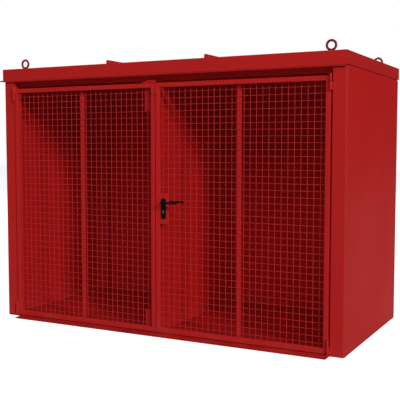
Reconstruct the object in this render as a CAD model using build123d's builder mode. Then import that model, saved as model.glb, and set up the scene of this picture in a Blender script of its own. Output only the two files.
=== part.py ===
"""Gas cylinder container with two mesh doors, as separately named subcomponents.

Millimetres. The origin is on the ground at the centre of the footprint.
+X is to the right seen from the doors, +Y to the back and +Z up.
"""
import os

from build123d import *

os.makedirs("parts", exist_ok=True)

# Overall sizes
roof_width = 3095
roof_depth = 1524
roof_top = 2173
fascia_height = 98
side_overhang = 1.5
front_overhang = 20
sheet = 3

# Derived planes of the roof and the body
roof_front = -roof_depth / 2
fascia_bottom = roof_top - fascia_height
body_width = roof_width - 2 * side_overhang
body_side = body_width / 2
body_front = roof_front + front_overhang
body_back = -body_front

# Corner posts
post_width = 106
post_depth = 100
post_wall = 4
post_fold = 10
post_drop = 9
tube_wall = 3
bar_wall = 2
post_top = fascia_bottom - post_drop
post_inner = body_side - post_width

# Roof frame, base frame and floor
top_rail_inset = 8
top_rail_depth = 50
header_setback = 70
header_depth = 40
header_height = 41
base_rail_height = 40
base_rail_width = 46
bearer_height = 12
bearer_width = 60
bearer_pitch = 770
floor_setback = 82
header_front = roof_front + header_setback
header_bottom = post_top - header_height
floor_front = roof_front + floor_setback

# Front sill with its sloping lip
sill_height = 10
lip_reach = 75
lip_edge = 3
lip_inset = 45

# Walls
wall_joint_height = 890
wall_joint_gap = 10
wall_strip_height = 60
wall_rise = 4
wall_top = post_top + wall_rise
rear_sheet_face = body_back - 2 * sheet
partition_front = header_front

# Roof cover, ribs and spout
hem_depth = 8
hem_height = 4
rib_width = 20
rib_height = 28
rib_spacing = 892
spout_radius = 6
spout_bore = 4.5
spout_reach = 36
spout_inset = 18
spout_sides = 12

# Lifting eyes
eye_side_inset = 152.5
eye_end_inset = 120
eye_height = 51
eye_ring_radius = 34
eye_rod_radius = 9
eye_rod_sides = 8
eye_collar_radius = 24
eye_collar_height = 8
eye_x = roof_width / 2 - eye_side_inset
eye_y = roof_depth / 2 - eye_end_inset
eye_centre = roof_top + eye_height

# Door leaves
leaf_setback = 10
leaf_bottom = 16
leaf_top_gap = 24
leaf_side_gap = 12
meeting_left = -9
meeting_right = -1
frame_depth = 25
frame_width = 35
bottom_rail_width = 40
mid_stile_width = 40
mid_stile_depth = 20
left_mid_shift = -17.5
right_mid_shift = -7.5
leaf_front = roof_front + leaf_setback
leaf_top = header_bottom - leaf_top_gap
leaf_outer = post_inner - leaf_side_gap
left_mid_stile_x = (meeting_left - leaf_outer) / 2 + left_mid_shift
right_mid_stile_x = (meeting_right + leaf_outer) / 2 + right_mid_shift

# Wire mesh of the leaves
wire = 5
wire_pitch = 50
wire_lap = 18
left_first_gap = 41
left_last_gap = 28
right_first_gap = 54.5
right_last_gap = 74.5
lowest_gap = 65
highest_gap = 70
left_first_upright = left_first_gap - leaf_outer
right_first_upright = meeting_right + right_first_gap
lowest_cross_wire = leaf_bottom + lowest_gap
left_upright_span = meeting_left - left_last_gap - left_first_upright
right_upright_span = leaf_outer - right_last_gap - right_first_upright
cross_wire_span = leaf_top - highest_gap - lowest_cross_wire
left_upright_steps = round(left_upright_span / wire_pitch)
right_upright_steps = round(right_upright_span / wire_pitch)
cross_wire_steps = round(cross_wire_span / wire_pitch)
left_upright_pitch = left_upright_span / left_upright_steps
right_upright_pitch = right_upright_span / right_upright_steps
cross_wire_pitch = cross_wire_span / cross_wire_steps

# Hinges
hinge_inset = 9
hinge_low = 12
hinge_drop = 103
knuckle_radius = 8
knuckle_length = 58
knuckle_gap = 2
pin_radius = 4.5
pin_clearance = 0.1
pin_length = 48
tab_reach = 14
tab_thickness = 6
hinge_x = post_inner - hinge_inset
hinge_y = roof_front
hinge_high = leaf_top - hinge_drop

# Lock, handles and levers
handle_backset = 74
handle_z = 1062
case_reach = 27
case_below = 170
case_above = 68
plate_width = 45
plate_length = 165
plate_above = 34
plate_thickness = 6
cylinder_drop = 72
cylinder_radius = 8.5
cylinder_tail = 10
cylinder_tail_drop = 16
cylinder_gap = 0.4
cylinder_proud = 3
lever_radius = 9
lever_sides = 8
lever_reach = 54
lever_length = 125
lever_bend = 15
lever_return = 30
lever_hole = 10
lever_seat = 2
spindle_radius = 5
spindle_hole = 6.5
handle_x = meeting_right + handle_backset
case_right = handle_x + case_reach
case_bottom = handle_z - case_below
case_top = handle_z + case_above
plate_centre_z = handle_z + plate_above - plate_length / 2

# Shoot bolts of the left leaf and their keeper
bolt_inset = 87
bolt_radius = 6
bolt_bore = 6.6
top_bolt_length = 280
top_bolt_drop = 4
bottom_bolt_length = 233
bottom_bolt_rise = 1
housing_width = 44
housing_depth = 26
top_housing_length = 208
top_housing_drop = 6
bottom_housing_length = 164
bottom_housing_rise = 4
knob_radius = 5
knob_reach = 27
knob_inset = 15
keeper_gap = 6
keeper_plate = 6
keeper_hole = 7.5
keeper_setback = 36
keeper_margin = 49
keeper_inset = 20
gusset_inset = 5
gusset_rise = 5
gusset_reach = 13
bolt_x = meeting_left - bolt_inset
top_bolt_low = leaf_top - top_bolt_drop - top_bolt_length
bottom_bolt_low = leaf_bottom + bottom_bolt_rise
keeper_bottom = leaf_top + keeper_gap

# Lugs on the meeting stiles
lug_width = 25
lug_thickness = 6
top_lug_drop = 90
top_lug_height = 30
bottom_lug_rise = 54
bottom_lug_height = 18
bottom_lug_width = 15
top_lug_middle = leaf_top - top_lug_drop + top_lug_height / 2
bottom_lug_middle = leaf_bottom + bottom_lug_rise + bottom_lug_height / 2

# Derived planes of the leaves
frame_back = leaf_front + frame_depth
upright_back = frame_back + wire
cross_back = upright_back + wire
leaf_height = leaf_top - leaf_bottom
bolt_y = cross_back + housing_depth / 2


# Corner posts, folded hollow sections
with BuildPart() as front_posts:
    with BuildSketch(Plane.XY) as front_post_plan:
        with Locations((body_side - post_width / 2, body_front + post_depth / 2)):
            Rectangle(post_width, post_depth)
        fillet(front_post_plan.vertices().sort_by(Axis.X)[2:].sort_by(Axis.Y)[0], post_fold)
        with Locations((body_side - post_width / 2, body_front + post_depth / 2)):
            Rectangle(post_width - 2 * post_wall, post_depth - 2 * post_wall, mode=Mode.SUBTRACT)
        mirror(about=Plane.YZ)
    extrude(amount=post_top)
front_posts.part.label = "front_posts"
export_step(front_posts.part, "parts/front_posts.step")

with BuildPart() as rear_posts:
    with BuildSketch(Plane.XY) as rear_post_plan:
        with Locations((body_side - post_width / 2, body_back - post_depth / 2)):
            Rectangle(post_width, post_depth)
        fillet(rear_post_plan.vertices().sort_by(Axis.X)[2:].sort_by(Axis.Y)[-1], post_fold)
        with Locations((body_side - post_width / 2, body_back - post_depth / 2)):
            Rectangle(post_width - 2 * post_wall, post_depth - 2 * post_wall, mode=Mode.SUBTRACT)
        mirror(about=Plane.YZ)
    extrude(amount=post_top)
rear_posts.part.label = "rear_posts"
export_step(rear_posts.part, "parts/rear_posts.step")

# Top rails that stand on the posts behind the roof skirt
top_rail_low = post_top
top_rail_height = roof_top - sheet - top_rail_low
top_rail_side = body_side - top_rail_inset
top_rail_front = body_front + top_rail_inset
top_rail_hollow = top_rail_depth - 2 * tube_wall

with BuildPart() as front_top_rail:
    with BuildSketch(Plane.YZ.offset(-top_rail_side)):
        with Locations((top_rail_front + top_rail_depth / 2, top_rail_low + top_rail_height / 2)):
            Rectangle(top_rail_depth, top_rail_height)
            Rectangle(top_rail_hollow, top_rail_height - 2 * tube_wall, mode=Mode.SUBTRACT)
    extrude(amount=2 * top_rail_side)
front_top_rail.part.label = "front_top_rail"
export_step(front_top_rail.part, "parts/front_top_rail.step")

with BuildPart() as rear_top_rail:
    with BuildSketch(Plane.YZ.offset(-top_rail_side)):
        with Locations((-top_rail_front - top_rail_depth / 2, top_rail_low + top_rail_height / 2)):
            Rectangle(top_rail_depth, top_rail_height)
            Rectangle(top_rail_hollow, top_rail_height - 2 * tube_wall, mode=Mode.SUBTRACT)
    extrude(amount=2 * top_rail_side)
rear_top_rail.part.label = "rear_top_rail"
export_step(rear_top_rail.part, "parts/rear_top_rail.step")

side_top_rail_start = top_rail_front + top_rail_depth
with BuildPart() as side_top_rails:
    with BuildSketch(Plane.XZ.offset(-side_top_rail_start)):
        with Locations((top_rail_side - top_rail_depth / 2, top_rail_low + top_rail_height / 2)):
            Rectangle(top_rail_depth, top_rail_height)
            Rectangle(top_rail_hollow, top_rail_height - 2 * tube_wall, mode=Mode.SUBTRACT)
        mirror(about=Plane.YZ)
    extrude(amount=2 * side_top_rail_start)
side_top_rails.part.label = "side_top_rails"
export_step(side_top_rails.part, "parts/side_top_rails.step")

# Recessed header between the front posts
with BuildPart() as door_header:
    with BuildSketch(Plane.YZ.offset(-post_inner)):
        with Locations((header_front + header_depth / 2, header_bottom + header_height / 2)):
            Rectangle(header_depth, header_height)
            Rectangle(
                header_depth - 2 * tube_wall, header_height - 2 * tube_wall, mode=Mode.SUBTRACT
            )
    extrude(amount=2 * post_inner)
door_header.part.label = "door_header"
export_step(door_header.part, "parts/door_header.step")

# Sill under the doors, with a lip that slopes down in front of them
lip_left = lip_inset - post_inner
with BuildPart() as front_sill:
    with BuildSketch(Plane.YZ.offset(-post_inner)):
        with BuildLine():
            Polyline(
                (body_front, 0),
                (floor_front, 0),
                (floor_front, sill_height),
                (body_front, sill_height),
                close=True,
            )
        make_face()
    extrude(amount=2 * post_inner)
    with BuildSketch(Plane.YZ.offset(lip_left)):
        with BuildLine():
            Polyline(
                (roof_front - lip_reach, 0),
                (body_front, 0),
                (body_front, sill_height),
                (roof_front, sill_height),
                (roof_front - lip_reach, lip_edge),
                close=True,
            )
        make_face()
    extrude(amount=post_inner - lip_left)
    with Locations((bolt_x, bolt_y, sill_height)):
        Hole(keeper_hole)
front_sill.part.label = "front_sill"
export_step(front_sill.part, "parts/front_sill.step")

# Base rails along the sides and the back
base_rail_length = 2 * (body_back - post_depth)
base_rail_hollow = base_rail_width - 2 * tube_wall
base_rail_bore = base_rail_height - 2 * tube_wall
with BuildPart() as side_base_rails:
    with BuildSketch(Plane.XZ.offset(-base_rail_length / 2)):
        with Locations((body_side - base_rail_width / 2, base_rail_height / 2)):
            Rectangle(base_rail_width, base_rail_height)
            Rectangle(base_rail_hollow, base_rail_bore, mode=Mode.SUBTRACT)
        mirror(about=Plane.YZ)
    extrude(amount=base_rail_length)
side_base_rails.part.label = "side_base_rails"
export_step(side_base_rails.part, "parts/side_base_rails.step")

with BuildPart() as rear_base_rail:
    with BuildSketch(Plane.YZ.offset(-post_inner)):
        with Locations((body_back - base_rail_width / 2, base_rail_height / 2)):
            Rectangle(base_rail_width, base_rail_height)
            Rectangle(base_rail_hollow, base_rail_bore, mode=Mode.SUBTRACT)
    extrude(amount=2 * post_inner)
rear_base_rail.part.label = "rear_base_rail"
export_step(rear_base_rail.part, "parts/rear_base_rail.step")

# Floor sheet on its bearers
floor_back = body_back - base_rail_width
floor_side = body_side - base_rail_width
floor_middle = (floor_front + floor_back) / 2
floor_length = floor_back - floor_front
with BuildPart() as floor_bearers:
    with BuildSketch(Plane.XY):
        with Locations((0, floor_middle)):
            with GridLocations(bearer_pitch, floor_length, 3, 1):
                Rectangle(bearer_width, floor_length)
    extrude(amount=bearer_height)
floor_bearers.part.label = "floor_bearers"
export_step(floor_bearers.part, "parts/floor_bearers.step")

post_notch = 2 * (floor_side - post_inner)
with BuildPart() as floor_sheet:
    with BuildSketch(Plane.XY.offset(bearer_height)):
        with Locations((0, floor_middle)):
            Rectangle(2 * floor_side, floor_length)
        with Locations((floor_side, floor_front), (-floor_side, floor_front)):
            Rectangle(post_notch, 2 * (body_front + post_depth - floor_front), mode=Mode.SUBTRACT)
        with Locations((floor_side, floor_back), (-floor_side, floor_back)):
            Rectangle(post_notch, 2 * (floor_back - body_back + post_depth), mode=Mode.SUBTRACT)
    extrude(amount=sheet)
floor_sheet.part.label = "floor_sheet"
export_step(floor_sheet.part, "parts/floor_sheet.step")

# Side walls
with BuildPart() as side_walls:
    with BuildSketch(Plane.XY.offset(base_rail_height)):
        with Locations((body_side - sheet / 2, 0)):
            Rectangle(sheet, base_rail_length)
        mirror(about=Plane.YZ)
    extrude(amount=wall_top - base_rail_height)
side_walls.part.label = "side_walls"
export_step(side_walls.part, "parts/side_walls.step")

# Rear wall in two sheets, with the strip that covers their joint
lower_sheet_top = wall_joint_height - wall_joint_gap / 2
upper_sheet_low = wall_joint_height + wall_joint_gap / 2
with BuildPart() as rear_wall:
    with BuildSketch(Plane.XY.offset(base_rail_height)):
        with Locations((0, rear_sheet_face + sheet / 2)):
            Rectangle(2 * post_inner, sheet)
    extrude(amount=lower_sheet_top - base_rail_height)
    with BuildSketch(Plane.XY.offset(upper_sheet_low)):
        with Locations((0, rear_sheet_face + sheet / 2)):
            Rectangle(2 * post_inner, sheet)
    extrude(amount=wall_top - upper_sheet_low)
rear_wall.part.label = "rear_wall"
export_step(rear_wall.part, "parts/rear_wall.step")

with BuildPart() as rear_wall_strip:
    with BuildSketch(Plane.XY.offset(wall_joint_height - wall_strip_height / 2)):
        with Locations((0, body_back - sheet / 2)):
            Rectangle(2 * post_inner, sheet)
    extrude(amount=wall_strip_height)
rear_wall_strip.part.label = "rear_wall_strip"
export_step(rear_wall_strip.part, "parts/rear_wall_strip.step")

# Partition between the two bays
partition_low = bearer_height + sheet
partition_depth = floor_back - partition_front
with BuildPart() as partition:
    with BuildSketch(Plane.XY.offset(partition_low)):
        with Locations((0, (floor_back + partition_front) / 2)):
            Rectangle(sheet, partition_depth)
    extrude(amount=post_top - partition_low)
    with BuildSketch(Plane.XY.offset(header_bottom)):
        with Locations((0, header_front + header_depth / 2)):
            Rectangle(sheet, header_depth)
    extrude(amount=header_height, mode=Mode.SUBTRACT)
partition.part.label = "partition"
export_step(partition.part, "parts/partition.step")

# Roof cover, a folded tray with a hemmed skirt
with BuildPart() as roof_cover:
    with BuildSketch(Plane.XY.offset(fascia_bottom)):
        Rectangle(roof_width, roof_depth)
    extrude(amount=fascia_height)
    with BuildSketch(Plane.XY.offset(fascia_bottom)):
        Rectangle(roof_width - 2 * hem_depth, roof_depth - 2 * hem_depth)
    extrude(amount=hem_height, mode=Mode.SUBTRACT)
    with BuildSketch(Plane.XY.offset(fascia_bottom + hem_height)):
        Rectangle(roof_width - 2 * sheet, roof_depth - 2 * sheet)
    extrude(amount=fascia_height - hem_height - sheet, mode=Mode.SUBTRACT)
roof_cover.part.label = "roof_cover"
export_step(roof_cover.part, "parts/roof_cover.step")

# Standing ribs over the roof joints
with BuildPart() as roof_ribs:
    with BuildSketch(Plane.XY.offset(roof_top)):
        with GridLocations(rib_spacing, roof_depth, 2, 1):
            Rectangle(rib_width, roof_depth)
    extrude(amount=rib_height)
roof_ribs.part.label = "roof_ribs"
export_step(roof_ribs.part, "parts/roof_ribs.step")

# Lifting eyes, rings that stand on a collar
with BuildPart() as lifting_eyes:
    with BuildSketch(Plane.XY.offset(roof_top)):
        with GridLocations(2 * eye_x, 2 * eye_y, 2, 2):
            Circle(eye_collar_radius)
    extrude(amount=eye_collar_height)
    with BuildSketch(Plane.XY.offset(roof_top)):
        with GridLocations(2 * eye_x, 2 * eye_y, 2, 2):
            Circle(eye_rod_radius)
    extrude(amount=eye_centre - eye_ring_radius - roof_top)
    for x in (-eye_x, eye_x):
        for y in (-eye_y, eye_y):
            with BuildSketch(Plane((x, y, eye_centre))):
                with Locations((eye_ring_radius, 0)):
                    RegularPolygon(eye_rod_radius, eye_rod_sides, rotation=180 / eye_rod_sides)
            revolve(axis=Axis((x, y, eye_centre), (0, 1, 0)))
lifting_eyes.part.label = "lifting_eyes"
export_step(lifting_eyes.part, "parts/lifting_eyes.step")

# Drain spout at the left end of the skirt
with BuildPart() as drain_spout:
    with BuildSketch(Plane.YZ.offset(-roof_width / 2)):
        with Locations((roof_front + spout_inset, fascia_bottom + spout_radius)):
            RegularPolygon(spout_radius, spout_sides)
            RegularPolygon(spout_bore, spout_sides, mode=Mode.SUBTRACT)
    extrude(amount=-spout_reach)
drain_spout.part.label = "drain_spout"
export_step(drain_spout.part, "parts/drain_spout.step")

# Keeper for the top shoot bolt, fixed to the front of the header
keeper_front = leaf_front + keeper_setback
keeper_left = bolt_x - keeper_margin
keeper_right = meeting_right - keeper_inset
with BuildPart() as bolt_keeper:
    with BuildSketch(Plane.XY.offset(keeper_bottom)):
        with Locations(((keeper_left + keeper_right) / 2, (keeper_front + header_front) / 2)):
            Rectangle(keeper_right - keeper_left, header_front - keeper_front)
    extrude(amount=keeper_plate)
    with BuildSketch(Plane.XZ.offset(-keeper_front)):
        with BuildLine():
            Polyline(
                (keeper_left + gusset_inset, keeper_bottom + keeper_plate),
                (keeper_right, keeper_bottom + keeper_plate),
                (keeper_right, header_bottom + gusset_rise),
                (bolt_x + gusset_reach, header_bottom + gusset_rise),
                close=True,
            )
        make_face()
    extrude(amount=-(header_front - keeper_front))
    with Locations((bolt_x, bolt_y, header_bottom)):
        Hole(keeper_hole)
bolt_keeper.part.label = "bolt_keeper"
export_step(bolt_keeper.part, "parts/bolt_keeper.step")

# Fixed hinge knuckles with their pins, welded to the front posts
tab_middle_y = (hinge_y + body_front) / 2
with BuildPart() as post_hinge_knuckles:
    for low in (hinge_low, hinge_high):
        with BuildSketch(Plane.XY.offset(low)):
            with Locations((hinge_x, hinge_y), (-hinge_x, hinge_y)):
                Circle(knuckle_radius)
            with Locations(
                (hinge_x + tab_reach / 2, tab_middle_y),
                (-hinge_x - tab_reach / 2, tab_middle_y),
            ):
                Rectangle(tab_reach, body_front - hinge_y)
        extrude(amount=knuckle_length)
        with BuildSketch(Plane.XY.offset(low + knuckle_length)):
            with Locations((hinge_x, hinge_y), (-hinge_x, hinge_y)):
                Circle(pin_radius)
        extrude(amount=pin_length)
post_hinge_knuckles.part.label = "post_hinge_knuckles"
export_step(post_hinge_knuckles.part, "parts/post_hinge_knuckles.step")

# Frame bars of the left leaf
with BuildPart() as left_hinge_stile:
    with BuildSketch(Plane.XY.offset(leaf_bottom)):
        with Locations((-leaf_outer + frame_width / 2, leaf_front + frame_depth / 2)):
            Rectangle(frame_width, frame_depth)
    extrude(amount=leaf_height)
    with BuildSketch(Plane.XY.offset(leaf_bottom)):
        with Locations((-leaf_outer + frame_width / 2, leaf_front + frame_depth / 2)):
            Rectangle(frame_width - 2 * bar_wall, frame_depth - 2 * bar_wall)
    extrude(amount=leaf_height - bar_wall, mode=Mode.SUBTRACT)
left_hinge_stile.part.label = "left_hinge_stile"
export_step(left_hinge_stile.part, "parts/left_hinge_stile.step")

with BuildPart() as left_meeting_stile:
    with BuildSketch(Plane.XY.offset(leaf_bottom)):
        with Locations((meeting_left - frame_width / 2, leaf_front + frame_depth / 2)):
            Rectangle(frame_width, frame_depth)
    extrude(amount=leaf_height)
    with BuildSketch(Plane.XY.offset(leaf_bottom)):
        with Locations((meeting_left - frame_width / 2, leaf_front + frame_depth / 2)):
            Rectangle(frame_width - 2 * bar_wall, frame_depth - 2 * bar_wall)
    extrude(amount=leaf_height - bar_wall, mode=Mode.SUBTRACT)
left_meeting_stile.part.label = "left_meeting_stile"
export_step(left_meeting_stile.part, "parts/left_meeting_stile.step")

left_rail_start = -leaf_outer + frame_width
left_rail_end = meeting_left - frame_width
left_rail_middle = (left_rail_start + left_rail_end) / 2
with BuildPart() as left_leaf_rails:
    with BuildSketch(Plane.YZ.offset(left_rail_start)):
        with Locations((leaf_front + frame_depth / 2, leaf_top - frame_width / 2)):
            Rectangle(frame_depth, frame_width)
            Rectangle(frame_depth - 2 * bar_wall, frame_width - 2 * bar_wall, mode=Mode.SUBTRACT)
        with Locations((leaf_front + frame_depth / 2, leaf_bottom + bottom_rail_width / 2)):
            Rectangle(frame_depth, bottom_rail_width)
            Rectangle(
                frame_depth - 2 * bar_wall, bottom_rail_width - 2 * bar_wall, mode=Mode.SUBTRACT
            )
    extrude(amount=left_rail_end - left_rail_start)
left_leaf_rails.part.label = "left_leaf_rails"
export_step(left_leaf_rails.part, "parts/left_leaf_rails.step")

mid_stile_height = leaf_height - 2 * wire_lap
with BuildPart() as left_mid_stile:
    with BuildSketch(Plane.XY.offset(leaf_bottom + wire_lap)):
        with Locations((left_mid_stile_x, cross_back + mid_stile_depth / 2)):
            Rectangle(mid_stile_width, mid_stile_depth)
            Rectangle(mid_stile_width - 2 * bar_wall, mid_stile_depth - 2 * bar_wall, mode=Mode.SUBTRACT)
    extrude(amount=mid_stile_height)
left_mid_stile.part.label = "left_mid_stile"
export_step(left_mid_stile.part, "parts/left_mid_stile.step")

# Frame bars of the right leaf
with BuildPart() as right_hinge_stile:
    with BuildSketch(Plane.XY.offset(leaf_bottom)):
        with Locations((leaf_outer - frame_width / 2, leaf_front + frame_depth / 2)):
            Rectangle(frame_width, frame_depth)
    extrude(amount=leaf_height)
    with BuildSketch(Plane.XY.offset(leaf_bottom)):
        with Locations((leaf_outer - frame_width / 2, leaf_front + frame_depth / 2)):
            Rectangle(frame_width - 2 * bar_wall, frame_depth - 2 * bar_wall)
    extrude(amount=leaf_height - bar_wall, mode=Mode.SUBTRACT)
right_hinge_stile.part.label = "right_hinge_stile"
export_step(right_hinge_stile.part, "parts/right_hinge_stile.step")

with BuildPart() as right_meeting_stile:
    with BuildSketch(Plane.XY.offset(leaf_bottom)):
        with Locations((meeting_right + frame_width / 2, leaf_front + frame_depth / 2)):
            Rectangle(frame_width, frame_depth)
    extrude(amount=leaf_height)
    with BuildSketch(Plane.XY.offset(leaf_bottom)):
        with Locations((meeting_right + frame_width / 2, leaf_front + frame_depth / 2)):
            Rectangle(frame_width - 2 * bar_wall, frame_depth - 2 * bar_wall)
    extrude(amount=leaf_height - bar_wall, mode=Mode.SUBTRACT)
right_meeting_stile.part.label = "right_meeting_stile"
export_step(right_meeting_stile.part, "parts/right_meeting_stile.step")

right_rail_start = meeting_right + frame_width
right_rail_end = leaf_outer - frame_width
right_rail_middle = (right_rail_start + right_rail_end) / 2
with BuildPart() as right_leaf_rails:
    with BuildSketch(Plane.YZ.offset(right_rail_start)):
        with Locations((leaf_front + frame_depth / 2, leaf_top - frame_width / 2)):
            Rectangle(frame_depth, frame_width)
            Rectangle(frame_depth - 2 * bar_wall, frame_width - 2 * bar_wall, mode=Mode.SUBTRACT)
        with Locations((leaf_front + frame_depth / 2, leaf_bottom + bottom_rail_width / 2)):
            Rectangle(frame_depth, bottom_rail_width)
            Rectangle(
                frame_depth - 2 * bar_wall, bottom_rail_width - 2 * bar_wall, mode=Mode.SUBTRACT
            )
    extrude(amount=right_rail_end - right_rail_start)
right_leaf_rails.part.label = "right_leaf_rails"
export_step(right_leaf_rails.part, "parts/right_leaf_rails.step")

with BuildPart() as right_mid_stile:
    with BuildSketch(Plane.XY.offset(leaf_bottom + wire_lap)):
        with Locations((right_mid_stile_x, cross_back + mid_stile_depth / 2)):
            Rectangle(mid_stile_width, mid_stile_depth)
            Rectangle(mid_stile_width - 2 * bar_wall, mid_stile_depth - 2 * bar_wall, mode=Mode.SUBTRACT)
    extrude(amount=mid_stile_height)
right_mid_stile.part.label = "right_mid_stile"
export_step(right_mid_stile.part, "parts/right_mid_stile.step")

# Upright wires of both leaves, behind the frames
upright_low = leaf_bottom + wire_lap
upright_height = leaf_height - 2 * wire_lap
left_upright_middle = left_first_upright + left_upright_span / 2
with BuildPart() as left_mesh_uprights:
    with BuildSketch(Plane.XY.offset(upright_low)):
        with Locations((left_upright_middle, frame_back + wire / 2)):
            with GridLocations(left_upright_pitch, wire, left_upright_steps + 1, 1):
                Rectangle(wire, wire)
    extrude(amount=upright_height)
left_mesh_uprights.part.label = "left_mesh_uprights"
export_step(left_mesh_uprights.part, "parts/left_mesh_uprights.step")

right_upright_middle = right_first_upright + right_upright_span / 2
with BuildPart() as right_mesh_uprights:
    with BuildSketch(Plane.XY.offset(upright_low)):
        with Locations((right_upright_middle, frame_back + wire / 2)):
            with GridLocations(right_upright_pitch, wire, right_upright_steps + 1, 1):
                Rectangle(wire, wire)
    extrude(amount=upright_height)
    with BuildSketch(Plane.XZ.offset(-frame_back)):
        with Locations((case_right / 2, (case_bottom + case_top) / 2)):
            Rectangle(case_right, case_top - case_bottom)
    extrude(amount=-2 * wire, mode=Mode.SUBTRACT)
right_mesh_uprights.part.label = "right_mesh_uprights"
export_step(right_mesh_uprights.part, "parts/right_mesh_uprights.step")

# Cross wires of both leaves, welded behind the uprights
cross_middle_z = lowest_cross_wire + cross_wire_span / 2
left_cross_length = left_rail_end - left_rail_start + 2 * wire_lap
with BuildPart() as left_mesh_cross_wires:
    with BuildSketch(Plane.XZ.offset(-upright_back)):
        with Locations((left_rail_middle, cross_middle_z)):
            with GridLocations(wire, cross_wire_pitch, 1, cross_wire_steps + 1):
                Rectangle(left_cross_length, wire)
    extrude(amount=-wire)
left_mesh_cross_wires.part.label = "left_mesh_cross_wires"
export_step(left_mesh_cross_wires.part, "parts/left_mesh_cross_wires.step")

right_cross_length = right_rail_end - right_rail_start + 2 * wire_lap
with BuildPart() as right_mesh_cross_wires:
    with BuildSketch(Plane.XZ.offset(-upright_back)):
        with Locations((right_rail_middle, cross_middle_z)):
            with GridLocations(wire, cross_wire_pitch, 1, cross_wire_steps + 1):
                Rectangle(right_cross_length, wire)
    extrude(amount=-wire)
    with BuildSketch(Plane.XZ.offset(-frame_back)):
        with Locations((case_right / 2, (case_bottom + case_top) / 2)):
            Rectangle(case_right, case_top - case_bottom)
    extrude(amount=-2 * wire, mode=Mode.SUBTRACT)
right_mesh_cross_wires.part.label = "right_mesh_cross_wires"
export_step(right_mesh_cross_wires.part, "parts/right_mesh_cross_wires.step")

# Moving hinge knuckles, each a bored barrel on a tab
leaf_tab_y = leaf_front - tab_thickness / 2
leaf_knuckle_length = knuckle_length - knuckle_gap
with BuildPart() as left_hinge_knuckles:
    for low in (hinge_low, hinge_high):
        with BuildSketch(Plane.XY.offset(low + knuckle_length + knuckle_gap)):
            with Locations((-hinge_x, hinge_y)):
                Circle(knuckle_radius)
            with Locations((-hinge_x + tab_reach / 2, leaf_tab_y)):
                Rectangle(tab_reach, tab_thickness)
        extrude(amount=leaf_knuckle_length)
        with BuildSketch(Plane.XY.offset(low + knuckle_length + knuckle_gap)):
            with Locations((-hinge_x, hinge_y)):
                Circle(pin_radius + pin_clearance)
        extrude(amount=pin_length, mode=Mode.SUBTRACT)
left_hinge_knuckles.part.label = "left_hinge_knuckles"
export_step(left_hinge_knuckles.part, "parts/left_hinge_knuckles.step")

with BuildPart() as right_hinge_knuckles:
    for low in (hinge_low, hinge_high):
        with BuildSketch(Plane.XY.offset(low + knuckle_length + knuckle_gap)):
            with Locations((hinge_x, hinge_y)):
                Circle(knuckle_radius)
            with Locations((hinge_x - tab_reach / 2, leaf_tab_y)):
                Rectangle(tab_reach, tab_thickness)
        extrude(amount=leaf_knuckle_length)
        with BuildSketch(Plane.XY.offset(low + knuckle_length + knuckle_gap)):
            with Locations((hinge_x, hinge_y)):
                Circle(pin_radius + pin_clearance)
        extrude(amount=pin_length, mode=Mode.SUBTRACT)
right_hinge_knuckles.part.label = "right_hinge_knuckles"
export_step(right_hinge_knuckles.part, "parts/right_hinge_knuckles.step")

# Housings of the two shoot bolts, behind the mesh of the left leaf
with BuildPart() as bolt_housings:
    with BuildSketch(Plane.XY.offset(leaf_top - top_housing_drop - top_housing_length)):
        with Locations((bolt_x, bolt_y)):
            Rectangle(housing_width, housing_depth)
            Circle(bolt_bore, mode=Mode.SUBTRACT)
    extrude(amount=top_housing_length)
    with BuildSketch(Plane.XY.offset(leaf_bottom + bottom_housing_rise)):
        with Locations((bolt_x, bolt_y)):
            Rectangle(housing_width, housing_depth)
            Circle(bolt_bore, mode=Mode.SUBTRACT)
    extrude(amount=bottom_housing_length)
bolt_housings.part.label = "bolt_housings"
export_step(bolt_housings.part, "parts/bolt_housings.step")

# Lugs in front of the meeting stiles
with BuildPart() as left_leaf_lugs:
    with BuildSketch(Plane.XZ.offset(-leaf_front)):
        with Locations((meeting_left - lug_width / 2, top_lug_middle)):
            Rectangle(lug_width, top_lug_height)
        with Locations((meeting_left - bottom_lug_width / 2, bottom_lug_middle)):
            Rectangle(bottom_lug_width, bottom_lug_height)
    extrude(amount=lug_thickness)
left_leaf_lugs.part.label = "left_leaf_lugs"
export_step(left_leaf_lugs.part, "parts/left_leaf_lugs.step")

with BuildPart() as right_leaf_lugs:
    with BuildSketch(Plane.XZ.offset(-leaf_front)):
        with Locations((meeting_right + lug_width / 2, top_lug_middle)):
            Rectangle(lug_width, top_lug_height)
        with Locations((meeting_right + bottom_lug_width / 2, bottom_lug_middle)):
            Rectangle(bottom_lug_width, bottom_lug_height)
    extrude(amount=lug_thickness)
right_leaf_lugs.part.label = "right_leaf_lugs"
export_step(right_leaf_lugs.part, "parts/right_leaf_lugs.step")

# Lock case in the corner beside the right meeting stile
cylinder_z = handle_z - cylinder_drop
tail_width = cylinder_tail + 2 * cylinder_gap
tail_height = cylinder_tail_drop + cylinder_gap
with BuildPart() as lock_case:
    with BuildSketch(Plane.XZ.offset(-leaf_front)):
        with Locations(((right_rail_start + case_right) / 2, (case_bottom + case_top) / 2)):
            Rectangle(case_right - right_rail_start, case_top - case_bottom)
        with Locations((handle_x, handle_z)):
            Circle(spindle_hole, mode=Mode.SUBTRACT)
        with Locations((handle_x, cylinder_z)):
            Circle(cylinder_radius + cylinder_gap, mode=Mode.SUBTRACT)
        with Locations((handle_x, cylinder_z - tail_height / 2)):
            Rectangle(tail_width, tail_height, mode=Mode.SUBTRACT)
    extrude(amount=-(cross_back - leaf_front))
lock_case.part.label = "lock_case"
export_step(lock_case.part, "parts/lock_case.step")

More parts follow.
